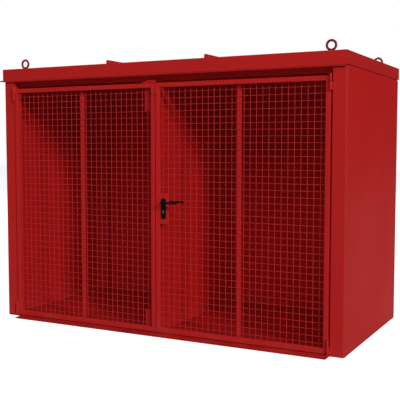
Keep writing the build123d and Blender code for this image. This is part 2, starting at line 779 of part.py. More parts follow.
# Long handle plates in front of the case and behind the mesh
with BuildPart() as handle_plates:
    with BuildSketch(Plane.XZ.offset(-leaf_front), Plane.XZ.offset(-cross_back - plate_thickness)):
        with Locations((handle_x, plate_centre_z)):
            SlotOverall(plate_length, plate_width, rotation=90)
        with Locations((handle_x, handle_z)):
            Circle(lever_hole, mode=Mode.SUBTRACT)
        with Locations((handle_x, cylinder_z)):
            Circle(cylinder_radius + cylinder_gap, mode=Mode.SUBTRACT)
        with Locations((handle_x, cylinder_z - tail_height / 2)):
            Rectangle(tail_width, tail_height, mode=Mode.SUBTRACT)
    extrude(amount=plate_thickness)
handle_plates.part.label = "handle_plates"
export_step(handle_plates.part, "parts/handle_plates.step")

# Profile cylinder through the plates and the case
cylinder_front = leaf_front - plate_thickness - cylinder_proud
cylinder_length = cross_back + plate_thickness + cylinder_proud - cylinder_front
with BuildPart() as lock_cylinder:
    with BuildSketch(Plane.XZ.offset(-cylinder_front)):
        with Locations((handle_x, cylinder_z)):
            Circle(cylinder_radius)
        with Locations((handle_x, cylinder_z - cylinder_tail_drop / 2)):
            Rectangle(cylinder_tail, cylinder_tail_drop)
    extrude(amount=-cylinder_length)
lock_cylinder.part.label = "lock_cylinder"
export_step(lock_cylinder.part, "parts/lock_cylinder.step")

# Levers, swept rods that return towards the door at the tip
outer_start = leaf_front - lever_seat
outer_bar = outer_start - lever_reach
lever_end = handle_x + lever_length
with BuildPart() as outer_lever:
    with BuildLine(Plane.XY.offset(handle_z)) as outer_path:
        FilletPolyline(
            (handle_x, outer_start),
            (handle_x, outer_bar),
            (lever_end, outer_bar),
            (lever_end, outer_bar + lever_return),
            radius=lever_bend,
        )
    with BuildSketch(Plane((handle_x, outer_start, handle_z), z_dir=(0, -1, 0))):
        RegularPolygon(lever_radius, lever_sides)
    sweep(path=outer_path.wires()[0])
outer_lever.part.label = "outer_lever"
export_step(outer_lever.part, "parts/outer_lever.step")

inner_start = cross_back + lever_seat
inner_bar = inner_start + lever_reach
with BuildPart() as inner_lever:
    with BuildLine(Plane.XY.offset(handle_z)) as inner_path:
        FilletPolyline(
            (handle_x, inner_start),
            (handle_x, inner_bar),
            (lever_end, inner_bar),
            (lever_end, inner_bar - lever_return),
            radius=lever_bend,
        )
    with BuildSketch(Plane((handle_x, inner_start, handle_z), z_dir=(0, 1, 0))):
        RegularPolygon(lever_radius, lever_sides)
    sweep(path=inner_path.wires()[0])
inner_lever.part.label = "inner_lever"
export_step(inner_lever.part, "parts/inner_lever.step")

with BuildPart() as lever_spindle:
    with BuildSketch(Plane.XZ.offset(-outer_start)):
        with Locations((handle_x, handle_z)):
            Circle(spindle_radius)
    extrude(amount=-(inner_start - outer_start))
lever_spindle.part.label = "lever_spindle"
export_step(lever_spindle.part, "parts/lever_spindle.step")

# Shoot bolts, rods with a finger knob, drawn back at rest
with BuildPart() as top_bolt:
    with BuildSketch(Plane.XY.offset(top_bolt_low)):
        with Locations((bolt_x, bolt_y)):
            Circle(bolt_radius)
    extrude(amount=top_bolt_length)
    with BuildSketch(Plane.XZ.offset(-bolt_y)):
        with Locations((bolt_x, top_bolt_low + knob_inset)):
            Circle(knob_radius)
    extrude(amount=-knob_reach)
top_bolt.part.label = "top_bolt"
export_step(top_bolt.part, "parts/top_bolt.step")

with BuildPart() as bottom_bolt:
    with BuildSketch(Plane.XY.offset(bottom_bolt_low)):
        with Locations((bolt_x, bolt_y)):
            Circle(bolt_radius)
    extrude(amount=bottom_bolt_length)
    with BuildSketch(Plane.XZ.offset(-bolt_y)):
        with Locations((bolt_x, bottom_bolt_low + bottom_bolt_length - knob_inset)):
            Circle(knob_radius)
    extrude(amount=-knob_reach)
bottom_bolt.part.label = "bottom_bolt"
export_step(bottom_bolt.part, "parts/bottom_bolt.step")
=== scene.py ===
import math

import bmesh
import bpy
from bpy.props import FloatProperty, FloatVectorProperty, IntProperty, PointerProperty
from bpy.types import Operator, Panel, PropertyGroup
from mathutils import Matrix, Vector


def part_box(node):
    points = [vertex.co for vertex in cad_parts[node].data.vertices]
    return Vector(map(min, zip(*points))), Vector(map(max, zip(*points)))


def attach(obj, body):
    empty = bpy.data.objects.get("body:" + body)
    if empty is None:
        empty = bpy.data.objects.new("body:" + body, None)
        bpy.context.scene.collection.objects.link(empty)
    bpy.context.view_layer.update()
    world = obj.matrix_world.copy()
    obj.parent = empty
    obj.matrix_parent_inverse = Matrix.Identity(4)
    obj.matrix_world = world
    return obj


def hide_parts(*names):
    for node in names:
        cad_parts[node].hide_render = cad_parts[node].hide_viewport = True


bl_info = {
    "name": "Gas Cylinder Container",
    "version": (1, 0, 0),
    "blender": (4, 5, 0),
    "location": "View3D > Sidebar > Container",
    "description": "Dresses the packed gas cylinder container in powder coat, wire mesh and hardware",
    "category": "Add Mesh",
}

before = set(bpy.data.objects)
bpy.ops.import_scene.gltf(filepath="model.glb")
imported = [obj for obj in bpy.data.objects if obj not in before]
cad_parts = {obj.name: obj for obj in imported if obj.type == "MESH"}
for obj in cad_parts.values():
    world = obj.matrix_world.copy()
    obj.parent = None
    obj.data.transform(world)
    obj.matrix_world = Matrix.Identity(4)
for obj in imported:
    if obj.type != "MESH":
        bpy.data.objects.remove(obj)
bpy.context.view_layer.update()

# Sizes of the solids that the pieces follow, in metres
POST_WIDTH = 0.106
TOP_RAIL, BOTTOM_RAIL = 0.035, 0.04
EYE_X, EYE_Y, EYE_RISE, EYE_RING = 1.395, 0.642, 0.051, 0.034
COLLAR_RADIUS, COLLAR_HEIGHT = 0.024, 0.008
KNUCKLE, KNUCKLE_GAP, PIN = 0.058, 0.002, 0.048
TAB_THICKNESS = 0.006
PLATE_THICKNESS = 0.006
LEVER_RADIUS, LEVER_BEND, LEVER_RETURN = 0.009, 0.015, 0.03
KNOB_INSET, KNOB_RADIUS = 0.015, 0.005

# Input and output numbers of the Mix node in its colour form
MIX_A, MIX_B, MIX_RESULT = 6, 7, 2

# Numbers of the axes
X, Y, Z = 0, 1, 2


# Settings


class ContainerSizes(PropertyGroup):
    """Small sizes of the dressed pieces"""

    wire_pitch: FloatProperty(
        name="Wire Pitch", description="Distance from one mesh wire to the next",
        default=0.05, min=0.02, unit="LENGTH",
    )
    wire_sides: IntProperty(
        name="Wire Sides", description="Flats round one mesh wire", default=8, min=4, max=16,
    )
    nugget_radius: FloatProperty(
        name="Weld Nugget", description="Radius of the weld where two wires cross",
        default=0.0029, min=0.001, unit="LENGTH",
    )
    tube_corner: FloatProperty(
        name="Tube Corner", description="Outer corner radius of the leaf tubes",
        default=0.0025, min=0.0005, unit="LENGTH",
    )
    plate_edge: FloatProperty(
        name="Plate Edge", description="Rounding of cut plate edges under the coat",
        default=0.0009, min=0.0002, unit="LENGTH",
    )
    post_fold: FloatProperty(
        name="Post Fold", description="Bend radius of the outer post corner",
        default=0.01, min=0.002, unit="LENGTH",
    )
    post_corner: FloatProperty(
        name="Post Corner", description="Rounding of the other post corners",
        default=0.003, min=0.0005, unit="LENGTH",
    )
    hem_depth: FloatProperty(
        name="Hem Depth", description="How far the skirt turns in at its lower edge",
        default=0.008, min=0.002, unit="LENGTH",
    )
    hem_roll: FloatProperty(
        name="Hem Roll", description="Radius of the roll along the lower skirt edge",
        default=0.006, min=0.001, unit="LENGTH",
    )
    lip_drop: FloatProperty(
        name="Lip Drop", description="Height of the lip under the front skirt",
        default=0.0125, min=0.004, unit="LENGTH",
    )
    lip_lean: FloatProperty(
        name="Lip Lean", description="How far the lip leans back at its lower edge",
        default=0.0055, min=0.0, unit="LENGTH",
    )
    spout_drop: FloatProperty(
        name="Spout Drop", description="How far the drain tube sits below its bore and stands out",
        default=0.008, min=0.0, unit="LENGTH",
    )
    roof_sheet: FloatProperty(
        name="Roof Sheet", description="Thickness of the roof sheet",
        default=0.0025, min=0.0005, unit="LENGTH",
    )
    eye_rod: FloatProperty(
        name="Eye Rod", description="Radius of the round bar of a lifting eye",
        default=0.009, min=0.003, unit="LENGTH",
    )
    weld_bead: FloatProperty(
        name="Weld Bead", description="Radius of a weld bead",
        default=0.002, min=0.0005, unit="LENGTH",
    )


class ContainerFinish(PropertyGroup):
    """Colours of the coated steel and the hardware, with lighter and darker copies of the coat that paint
    light, shade and sheen
    """

    red: FloatVectorProperty(
        name="Red", description="Colour of the powder coat",
        subtype="COLOR", size=3, min=0.0, max=1.0, default=(0.66, 0.021, 0.019),
    )
    # Lighter copy of the powder coat for the walls, partition and rear wall: painted light that brightens the
    # walls seen inside the bays
    wall_red_painted_light: FloatVectorProperty(
        name="Wall Red Painted Light", description="Colour of the coat on the flat wall sheets",
        subtype="COLOR", size=3, min=0.0, max=1.0, default=(0.71, 0.0155, 0.014),
    )
    floor_red: FloatVectorProperty(
        name="Floor Red", description="Colour of the coat on the floor sheet",
        subtype="COLOR", size=3, min=0.0, max=1.0, default=(0.56, 0.0165, 0.015),
    )
    deep_red: FloatVectorProperty(
        name="Deep Red", description="Darker tone that the coat drifts to",
        subtype="COLOR", size=3, min=0.0, max=1.0, default=(0.62, 0.0195, 0.018),
    )
    eye_red: FloatVectorProperty(
        name="Eye Red", description="Colour of the coat on the lifting eyes",
        subtype="COLOR", size=3, min=0.0, max=1.0, default=(0.24, 0.012, 0.02),
    )
    # Darker copy of the powder coat for the sill plate: painted shade along the foot of the doors
    sill_red_painted_shade: FloatVectorProperty(
        name="Sill Red Painted Shade", description="Colour of the sill, darker as painted shade",
        subtype="COLOR", size=3, min=0.0, max=1.0, default=(0.45, 0.011, 0.0105),
    )
    # Darker, pinker copy of the coat for the thin mesh wires: the pink tint is painted sheen, on top of their
    # real higher gloss
    wire_red_painted_sheen: FloatVectorProperty(
        name="Wire Red Painted Sheen", description="Colour of the coat on the mesh wires",
        subtype="COLOR", size=3, min=0.0, max=1.0, default=(0.56, 0.027, 0.034),
    )
    rubbed: FloatVectorProperty(
        name="Rubbed Edge", description="Colour of the coat where hands and ropes polish it",
        subtype="COLOR", size=3, min=0.0, max=1.0, default=(0.7, 0.034, 0.034),
    )
    dust: FloatVectorProperty(
        name="Dust", description="Colour of settled dust",
        subtype="COLOR", size=3, min=0.0, max=1.0, default=(0.42, 0.2, 0.17),
    )
    black: FloatVectorProperty(
        name="Black", description="Colour of the handle parts",
        subtype="COLOR", size=3, min=0.0, max=1.0, default=(0.004, 0.004, 0.0045),
    )
    nickel: FloatVectorProperty(
        name="Nickel", description="Colour of the lock cylinder",
        subtype="COLOR", size=3, min=0.0, max=1.0, default=(0.6, 0.38, 0.38),
    )
    zinc: FloatVectorProperty(
        name="Zinc", description="Colour of the plated bolts and pins",
        subtype="COLOR", size=3, min=0.0, max=1.0, default=(0.55, 0.55, 0.56),
    )


class ContainerStudio(PropertyGroup):
    """Camera, lights and floor"""

    lens: FloatProperty(name="Lens", description="Focal length in millimetres", default=68.83)
    camera_place: FloatVectorProperty(
        name="Camera Place", description="Where the camera stands",
        subtype="TRANSLATION", size=3, default=(3.1205, -5.9505, 1.5099),
    )
    camera_aim: FloatVectorProperty(
        name="Camera Aim", description="Direction in which the camera looks",
        subtype="DIRECTION", size=3, default=(-0.4629, 0.8836, -0.0709),
    )
    key_travel: FloatVectorProperty(
        name="Key Travel", description="Direction in which the key light travels",
        subtype="DIRECTION", size=3, default=(-1.0, 0.59, -0.48),
    )
    key_distance: FloatProperty(
        name="Key Distance", description="How far off the key light hangs", default=150.0, unit="LENGTH",
    )
    key_power: FloatProperty(name="Key Power", description="Power of the key light", default=97000.0)
    key_width: FloatProperty(
        name="Key Width", description="Width of the key light", default=21.0, unit="LENGTH",
    )
    key_height: FloatProperty(
        name="Key Height", description="Height of the key light", default=21.0, unit="LENGTH",
    )
    fill_power: FloatProperty(name="Fill Power", description="Power of the front soft box", default=2250.0)
    top_power: FloatProperty(name="Top Power", description="Power of the high front soft box", default=120.0)
    back_power: FloatProperty(name="Back Power", description="Power of the soft box behind", default=1100.0)
    sky_strength: FloatProperty(name="Sky Strength", description="Soft light from all round", default=0.03)
    floor_tone: FloatVectorProperty(
        name="Floor Tone", description="Colour of the pale floor",
        subtype="COLOR", size=3, min=0.0, max=1.0, default=(0.55, 0.55, 0.55),
    )
    floor_glow: FloatProperty(
        name="Floor Glow", description="Even brightness of the floor as it is seen", default=0.85,
    )


# Shader groups


def node_in(tree, kind, links=None, **settings):
    """Adds a node with its settings, and links or sets the inputs that are given."""
    node = tree.nodes.new(kind)
    for key, value in settings.items():
        setattr(node, key, value)
    for socket, value in (links or {}).items():
        if isinstance(value, bpy.types.NodeSocket):
            tree.links.new(value, node.inputs[socket])
        else:
            node.inputs[socket].default_value = value
    return node


def noise(tree, where, scale, detail=2.0, roughness=0.5):
    """Adds a noise texture and returns its output."""
    return node_in(tree, "ShaderNodeTexNoise", {
        "Vector": where, "Scale": scale, "Detail": detail, "Roughness": roughness}).outputs["Fac"]


def remap(tree, value, low, high, to_low=0.0, to_high=1.0, curve="LINEAR"):
    """Spreads a value over a new range and returns it."""
    return node_in(tree, "ShaderNodeMapRange", {
        "Value": value, "From Min": low, "From Max": high, "To Min": to_low, "To Max": to_high},
        interpolation_type=curve).outputs["Result"]


def maths(tree, operation, *values, use_clamp=False):
    """Joins values by an operation and returns the result."""
    return node_in(tree, "ShaderNodeMath", dict(enumerate(values)), operation=operation,
                   use_clamp=use_clamp).outputs[0]


def raised(tree, shader, height, strength, distance):
    """Gives a shader fine relief."""
    bump = node_in(tree, "ShaderNodeBump", {"Height": height, "Strength": strength, "Distance": distance})
    tree.links.new(bump.outputs["Normal"], shader.inputs["Normal"])


def group_with(name, inputs, outputs):
    """Starts a shader node group with named sockets and returns it with its two ends."""
    group = bpy.data.node_groups.new(name, "ShaderNodeTree")
    for label, value in inputs.items():
        kind = "NodeSocketFloat" if isinstance(value, float) else "NodeSocketVector"
        socket = group.interface.new_socket(label, in_out="INPUT", socket_type=kind)
        if value is not None:
            socket.default_value = value
    for label in outputs:
        group.interface.new_socket(label, in_out="OUTPUT", socket_type="NodeSocketFloat")
    return group, group.nodes.new("NodeGroupInput").outputs, group.nodes.new("NodeGroupOutput").inputs


def coat_grain_group():
    """Fine ripple of sprayed powder, and a slow drift of tone over a sheet."""
    group, entry, leave = group_with(
        "Coat Grain", {"Vector": None, "Ripple Scale": 700.0, "Drift Scale": 1.3}, ("Height", "Drift"))
    ripple = noise(group, entry["Vector"], entry["Ripple Scale"], 2.0, 0.45)
    slow = noise(group, entry["Vector"], 34.0)
    drift = noise(group, entry["Vector"], entry["Drift Scale"], 4.0, 0.55)
    group.links.new(maths(group, "MULTIPLY_ADD", slow, 0.6, ripple), leave["Height"])
    group.links.new(remap(group, drift, 0.32, 0.68, curve="SMOOTHSTEP"), leave["Drift"])
    return group


def edge_rub_group():
    """Mask of edges and corners that hands, ropes and cylinders have polished."""
    group, entry, leave = group_with(
        "Edge Rub", {"Vector": None, "Radius": 0.004, "Amount": 0.4}, ("Mask",))
    rounded = node_in(group, "ShaderNodeBevel", {"Radius": entry["Radius"]}, samples=4)
    plain = node_in(group, "ShaderNodeNewGeometry")
    agree = node_in(group, "ShaderNodeVectorMath", {
        0: rounded.outputs["Normal"], 1: plain.outputs["Normal"]}, operation="DOT_PRODUCT")
    edge = remap(group, agree.outputs["Value"], 0.995, 0.86)
    broken = remap(group, noise(group, entry["Vector"], 9.0, 5.0, 0.65), 0.42, 0.66)
    mask = maths(group, "MULTIPLY", maths(group, "MULTIPLY", edge, broken), entry["Amount"])
    group.links.new(mask, leave["Mask"])
    return group


def settled_dust_group():
    """Mask of dust that lies on upward faces and splashes up from the ground."""
    group, entry, leave = group_with(
        "Settled Dust", {"Vector": None, "On Top": 0.25, "Splash": 0.2, "Splash Height": 0.22}, ("Mask",))
    faces = node_in(group, "ShaderNodeNewGeometry")
    facing = node_in(group, "ShaderNodeSeparateXYZ", {0: faces.outputs["Normal"]})
    place = node_in(group, "ShaderNodeSeparateXYZ", {0: entry["Vector"]})
    lying = maths(group, "MULTIPLY", remap(group, facing.outputs["Z"], 0.5, 1.0), entry["On Top"])
    low = remap(group, place.outputs["Z"], entry["Splash Height"], 0.0, curve="SMOOTHSTEP")
    splashed = maths(group, "MULTIPLY", low, entry["Splash"])
    uneven = remap(group, noise(group, entry["Vector"], 5.0, 6.0, 0.62), 0.35, 0.72)
    mask = maths(group, "MULTIPLY", maths(group, "MAXIMUM", lying, splashed), uneven)
    group.links.new(mask, leave["Mask"])
    return group


def drawn_metal_group():
    """Fine lines left by drawing or brushing, which run along one axis."""
    group, entry, leave = group_with(
        "Drawn Metal", {"Vector": None, "Stretch": (1400.0, 1400.0, 30.0)}, ("Height", "Tone"))
    stretched = node_in(group, "ShaderNodeVectorMath", {
        0: entry["Vector"], 1: entry["Stretch"]}, operation="MULTIPLY")
    group.links.new(noise(group, stretched.outputs["Vector"], 1.0, 3.0, 0.6), leave["Height"])
    group.links.new(noise(group, entry["Vector"], 60.0, 4.0, 0.6), leave["Tone"])
    return group


def shared_group(name, maker):
    """Returns the shader group of that name, and makes it the first time."""
    return bpy.data.node_groups.get(name) or maker()


# Materials


def blank_material(name, roughness, specular, metallic=0.0):
    """Starts a material and returns it with its tree, its shader and Object coordinates."""
    material = bpy.data.materials.new(name)
    material.use_nodes = True
    tree = material.node_tree
    shader = tree.nodes["Principled BSDF"]
    shader.inputs["Roughness"].default_value = roughness
    shader.inputs["Specular IOR Level"].default_value = specular
    shader.inputs["Metallic"].default_value = metallic
    where = tree.nodes.new("ShaderNodeTexCoord").outputs["Object"]
    return material, tree, shader, where


def group_node(tree, group, links):
    """Places a shader group in a material, with its own values."""
    return node_in(tree, "ShaderNodeGroup", links, node_tree=group)


def blend_colour(tree, mask, first, second):
    """Mixes two colours by a mask and returns the result."""
    mix = tree.nodes.new("ShaderNodeMix")
    mix.data_type = "RGBA"
    tree.links.new(mask, mix.inputs["Factor"])
    for value, number in ((first, MIX_A), (second, MIX_B)):
        if isinstance(value, bpy.types.NodeSocket):
            tree.links.new(value, mix.inputs[number])
        else:
            mix.inputs[number].default_value = (*value, 1.0)
    return mix.outputs[MIX_RESULT]


def powder_coat(name, top, drift_to, roughness=0.46, specular=0.3, ripple=700.0, rub=0.4,
                on_top=0.25, splash=0.1):
    """Coated steel: rippled satin red with rubbed edges and a little dust."""
    finish = bpy.context.scene.container_finish
    material, tree, shader, where = blank_material(name, roughness, specular)
    grain = group_node(tree, shared_group("Coat Grain", coat_grain_group),
                       {"Vector": where, "Ripple Scale": ripple})
    dust = group_node(tree, shared_group("Settled Dust", settled_dust_group),
                      {"Vector": where, "On Top": on_top, "Splash": splash})
    colour = blend_colour(tree, grain.outputs["Drift"], tuple(top), tuple(drift_to))
    if rub > 0.0:
        worn = group_node(tree, shared_group("Edge Rub", edge_rub_group),
                          {"Vector": where, "Amount": rub})
        colour = blend_colour(tree, worn.outputs["Mask"], colour, tuple(finish.rubbed))
    colour = blend_colour(tree, dust.outputs["Mask"], colour, tuple(finish.dust))
    tree.links.new(colour, shader.inputs["Base Color"])
    gloss = remap(tree, grain.outputs["Drift"], 0.0, 1.0, roughness - 0.03, roughness + 0.04)
    rough = maths(tree, "MULTIPLY_ADD", dust.outputs["Mask"], 0.4, gloss, use_clamp=True)
    tree.links.new(rough, shader.inputs["Roughness"])
    raised(tree, shader, grain.outputs["Height"], 0.25, 0.0003)
    return material


# Colour on top, tone that it drifts to, and the other values of each coat
COATS = {
    "Body Coat": ("red", "deep_red", {"specular": 0.12}),
    # Lighter copy of the coat on the walls, painted light
    "Wall Coat": ("wall_red_painted_light", (0.67, 0.0145, 0.0135), {"specular": 0.12}),
    "Eye Coat": ("eye_red", (0.3, 0.012, 0.016), {"rub": 0.2, "on_top": 0.1}),
    # Darker copy of the coat on the sill, painted shade
    "Sill Coat": ("sill_red_painted_shade", "deep_red", {"specular": 0.1, "rub": 0.3, "on_top": 0.1, "splash": 0.0}),
    "Frame Coat": ("red", "deep_red", {"specular": 0.12, "rub": 0.5, "on_top": 0.15}),
    "Floor Coat": ("floor_red", (0.5, 0.0125, 0.0115),
                   {"roughness": 0.6, "specular": 0.08, "on_top": 0.0, "splash": 0.0}),
    # Pinker copy of the coat on the wires, its tint a painted sheen
    "Wire Coat": ("wire_red_painted_sheen", "red", {"roughness": 0.3, "specular": 0.6, "ripple": 1100.0, "rub": 0.0,
                                      "on_top": 0.05, "splash": 0.0}),
}


def coat(name):
    """Returns the powder coat of that name, and mixes it the first time."""
    if name in bpy.data.materials:
        return bpy.data.materials[name]
    finish = bpy.context.scene.container_finish
    top, drift_to, values = COATS[name]
    if isinstance(drift_to, str):
        drift_to = getattr(finish, drift_to)
    return powder_coat(name, getattr(finish, top), drift_to, **values)


def black_plastic():
    """Matt black handle plastic with a fine spark texture."""
    if "Handle Black" in bpy.data.materials:
        return bpy.data.materials["Handle Black"]
    finish = bpy.context.scene.container_finish
    material, tree, shader, where = blank_material("Handle Black", 0.5, 0.12)
    handled = noise(tree, where, 40.0, 4.0, 0.6)
    handled_black = (0.007, 0.0068, 0.0068)
    greyed = blend_colour(tree, handled, tuple(finish.black), handled_black)
    tree.links.new(greyed, shader.inputs["Base Color"])
    tree.links.new(remap(tree, handled, 0.0, 1.0, 0.36, 0.52), shader.inputs["Roughness"])
    raised(tree, shader, noise(tree, where, 1500.0, 2.0, 0.6), 0.3, 0.00012)
    return material


def drawn_metal(name, colour, stain, roughness, stretch):
    """Bare plated metal with drawing lines and faint stains."""
    if name in bpy.data.materials:
        return bpy.data.materials[name]
    material, tree, shader, where = blank_material(name, roughness, 0.5, metallic=1.0)
    drawn = group_node(tree, shared_group("Drawn Metal", drawn_metal_group),
                       {"Vector": where, "Stretch": stretch})
    tone = blend_colour(tree, drawn.outputs["Tone"], tuple(colour), stain)
    tree.links.new(tone, shader.inputs["Base Color"])
    rough = remap(tree, drawn.outputs["Height"], 0.0, 1.0, roughness - 0.08, roughness + 0.1)
    tree.links.new(rough, shader.inputs["Roughness"])
    raised(tree, shader, drawn.outputs["Height"], 0.2, 0.00008)
    return material


def nickel_metal():
    """Satin nickel with lines along Y."""
    finish = bpy.context.scene.container_finish
    return drawn_metal("Satin Nickel", finish.nickel, stain=(0.46, 0.45, 0.42), roughness=0.3,
                       stretch=(900.0, 40.0, 900.0))


def zinc_metal():
    """Plated zinc with lines along Z."""
    finish = bpy.context.scene.container_finish
    return drawn_metal("Plated Zinc", finish.zinc, stain=(0.38, 0.38, 0.37), roughness=0.34,
                       stretch=(1400.0, 1400.0, 30.0))


# Modelling helpers


def cuboid(bm, low, high):
    """Adds a box between two corners and returns its vertices."""
    low, high = Vector(low), Vector(high)
    place = Matrix.Translation((low + high) / 2) @ Matrix.Diagonal((*(high - low), 1.0))
    return bmesh.ops.create_cube(bm, size=1.0, matrix=place)["verts"]


def rod(bm, start, end, radius, sides, end_radius=None, capped=True):
    """Adds a round rod from one point to another and returns its vertices."""
    start, end = Vector(start), Vector(end)
    axis = end - start
    turn = axis.to_track_quat("Z", "Y").to_matrix().to_4x4()
    return bmesh.ops.create_cone(
        bm, cap_ends=capped, cap_tris=False, segments=sides, radius1=radius,
        radius2=radius if end_radius is None else end_radius, depth=axis.length,
        matrix=Matrix.Translation((start + end) / 2) @ turn)["verts"]


def ball(bm, centre, radius, rings=8):
    """Adds a round ball and returns its vertices."""
    return bmesh.ops.create_uvsphere(
        bm, u_segments=2 * rings, v_segments=rings, radius=radius,
        matrix=Matrix.Translation(Vector(centre)))["verts"]


def above(place, rise):
    """The point at that height over a place."""
    return place + Vector((0.0, 0.0, rise))


def edges_of(verts):
    """Edges whose two ends are both among the vertices."""
    chosen = set(verts)
    return [e for e in {e for v in chosen for e in v.link_edges} if chosen.issuperset(e.verts)]


def round_edges(bm, edges, radius, segments):
    """Rounds the edges with a bevel."""
    if edges:
        bmesh.ops.bevel(bm, geom=list(edges), offset=radius, offset_type="OFFSET", segments=segments,
                        profile=0.5, affect="EDGES", material=-1, clamp_overlap=True)


def sharp(edges, angle):
    """Edges between two faces that meet at more than the angle, in degrees."""
    return [e for e in edges if len(e.link_faces) == 2 and e.calc_face_angle(0.0) > math.radians(angle)]


def along(edges, axis):
    """Edges that run along one axis."""
    return [e for e in edges if abs((e.verts[0].co - e.verts[1].co).normalized()[axis]) > 0.99]


def of_kind(geom, kind):
    """The vertices or the edges among mixed geometry."""
    return [g for g in geom if isinstance(g, kind)]


def soft_box(bm, low, high, radius, segments=3):
    """Adds a box with every edge rounded."""
    round_edges(bm, edges_of(cuboid(bm, low, high)), radius, segments)


def soft_rod(bm, start, end, radius, sides, edge=0.001, segments=2):
    """Adds a rod whose end rims are rounded."""
    round_edges(bm, sharp(edges_of(rod(bm, start, end, radius, sides)), 60.0), edge, segments)


def finished(bm, name, body, material, nodes=(), smooth=38.0):
    """Turns the mesh into a piece that rides on a body and stands for its CAD nodes."""
    bmesh.ops.remove_doubles(bm, verts=bm.verts, dist=1e-6)
    bmesh.ops.recalc_face_normals(bm, faces=bm.faces)
    mesh = bpy.data.meshes.new(name)
    bm.to_mesh(mesh)
    bm.free()
    mesh.shade_smooth()
    mesh.set_sharp_from_angle(angle=math.radians(smooth))
    piece = bpy.data.objects.new(name, mesh)
    bpy.context.scene.collection.objects.link(piece)
    mesh.materials.append(material)
    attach(piece, body)
    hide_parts(*nodes)
    return piece


def even_normals(piece):
    """Keeps large flats flat beside their rounded edges."""
    weigh = piece.modifiers.new("Even Normals", "WEIGHTED_NORMAL")
    weigh.keep_sharp = True


def softened(node, name, body, material, radius, segments=2):
    """Makes a piece from a merged copy of a CAD node with its edges rounded."""
    bm = bmesh.new()
    bm.from_mesh(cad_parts[node].data)
    bmesh.ops.remove_doubles(bm, verts=bm.verts, dist=1e-5)
    bmesh.ops.dissolve_limit(bm, angle_limit=math.radians(0.5), verts=bm.verts, edges=bm.edges)
    round_edges(bm, sharp(bm.edges, 30.0), radius, segments)
    piece = finished(bm, name, body, material, (node,))
    even_normals(piece)
    return piece


def dress(nodes, material):
    """Gives CAD nodes that keep their own shape a finished material."""
    for name in nodes:
        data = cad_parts[name].data
        data.materials.clear()
        data.materials.append(material)


# Pieces of the container


class CONTAINER_OT_sheets(Operator):
    """Coats the sheets and rails that keep the shape of their solids"""

    bl_idname = "container.sheets"
    bl_label = "Walls, Floor and Rails"

    def execute(self, context):
        dress(("front_top_rail", "rear_top_rail", "side_top_rails", "floor_bearers"), coat("Body Coat"))
        # The walls, partition and rear wall take the lighter coat, which is painted light
        dress(("side_walls", "rear_wall", "rear_wall_strip", "partition"), coat("Wall Coat"))
        dress(("floor_sheet",), coat("Floor Coat"))
        return {"FINISHED"}


class CONTAINER_OT_edges(Operator):
    """Rounds the cut edges of the plates and small bars"""

    bl_idname = "container.edges"
    bl_label = "Plates and Bars"

    def execute(self, context):
        sizes = context.scene.container_sizes
        for node, name in (("door_header", "header_bar"), ("side_base_rails", "side_base_bars"),
                           ("rear_base_rail", "rear_base_bar"), ("roof_ribs", "roof_rib_bars")):
            softened(node, name, "container", coat("Body Coat"), sizes.tube_corner, 3)
        # The sill plate takes the darker coat, which is painted shade
        for node, name, paint in (("front_sill", "sill_plate", "Sill Coat"),
                                  ("bolt_keeper", "keeper_plate", "Body Coat")):
            softened(node, name, "container", coat(paint), sizes.plate_edge)
        for node, name, body in (("left_leaf_lugs", "left_lugs", "left_leaf"),
                                 ("right_leaf_lugs", "right_lugs", "right_leaf"),
                                 ("bolt_housings", "bolt_guides", "left_leaf"),
                                 ("lock_case", "lock_box", "right_leaf")):
            softened(node, name, body, coat("Frame Coat"), sizes.plate_edge)
        return {"FINISHED"}


class CONTAINER_OT_posts(Operator):
    """Bends the four corner posts"""

    bl_idname = "container.posts"
    bl_label = "Corner Posts"

    def execute(self, context):
        sizes = context.scene.container_sizes
        for node, name in (("front_posts", "front_corner_posts"), ("rear_posts", "rear_corner_posts")):
            low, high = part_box(node)
            outer_y = low.y if node == "front_posts" else high.y
            bm = bmesh.new()
            for side in (-1, 1):
                outer_x = side * high.x
                left, right = sorted((outer_x, side * (high.x - POST_WIDTH)))
                verts = cuboid(bm, (left, low.y, low.z), (right, high.y, high.z))
                corners = along(edges_of(verts), Z)
                folds = [e for e in corners if abs(e.verts[0].co.x - outer_x) < 1e-5
                         and abs(e.verts[0].co.y - outer_y) < 1e-5]
                others = [e for e in corners if e not in folds]
                round_edges(bm, folds, sizes.post_fold, 8)
                round_edges(bm, others, sizes.post_corner, 3)
            even_normals(finished(bm, name, "container", coat("Body Coat"), (node,)))
        return {"FINISHED"}


def skirt_lip(sizes, low, high):
    """Makes the lip that leans back under the front skirt of the roof."""
    inset, proud, lap = 0.0005, 0.0003, 0.001
    bm = bmesh.new()
    cuboid(bm, (low.x + inset, low.y - proud, low.z - sizes.lip_drop),
           (high.x - inset, low.y + sizes.roof_sheet, low.z + sizes.hem_roll + lap))
    bmesh.ops.bisect_plane(bm, geom=list(bm.verts) + list(bm.edges) + list(bm.faces), dist=1e-6,
                           plane_co=(0.0, 0.0, low.z), plane_no=(0.0, 0.0, 1.0))
    bmesh.ops.translate(bm, vec=(0.0, sizes.lip_lean, 0.0),
                        verts=[v for v in bm.verts if v.co.z < low.z - sizes.lip_drop / 2])
    finished(bm, "skirt_lip", "container", coat("Body Coat"), smooth=10.0)


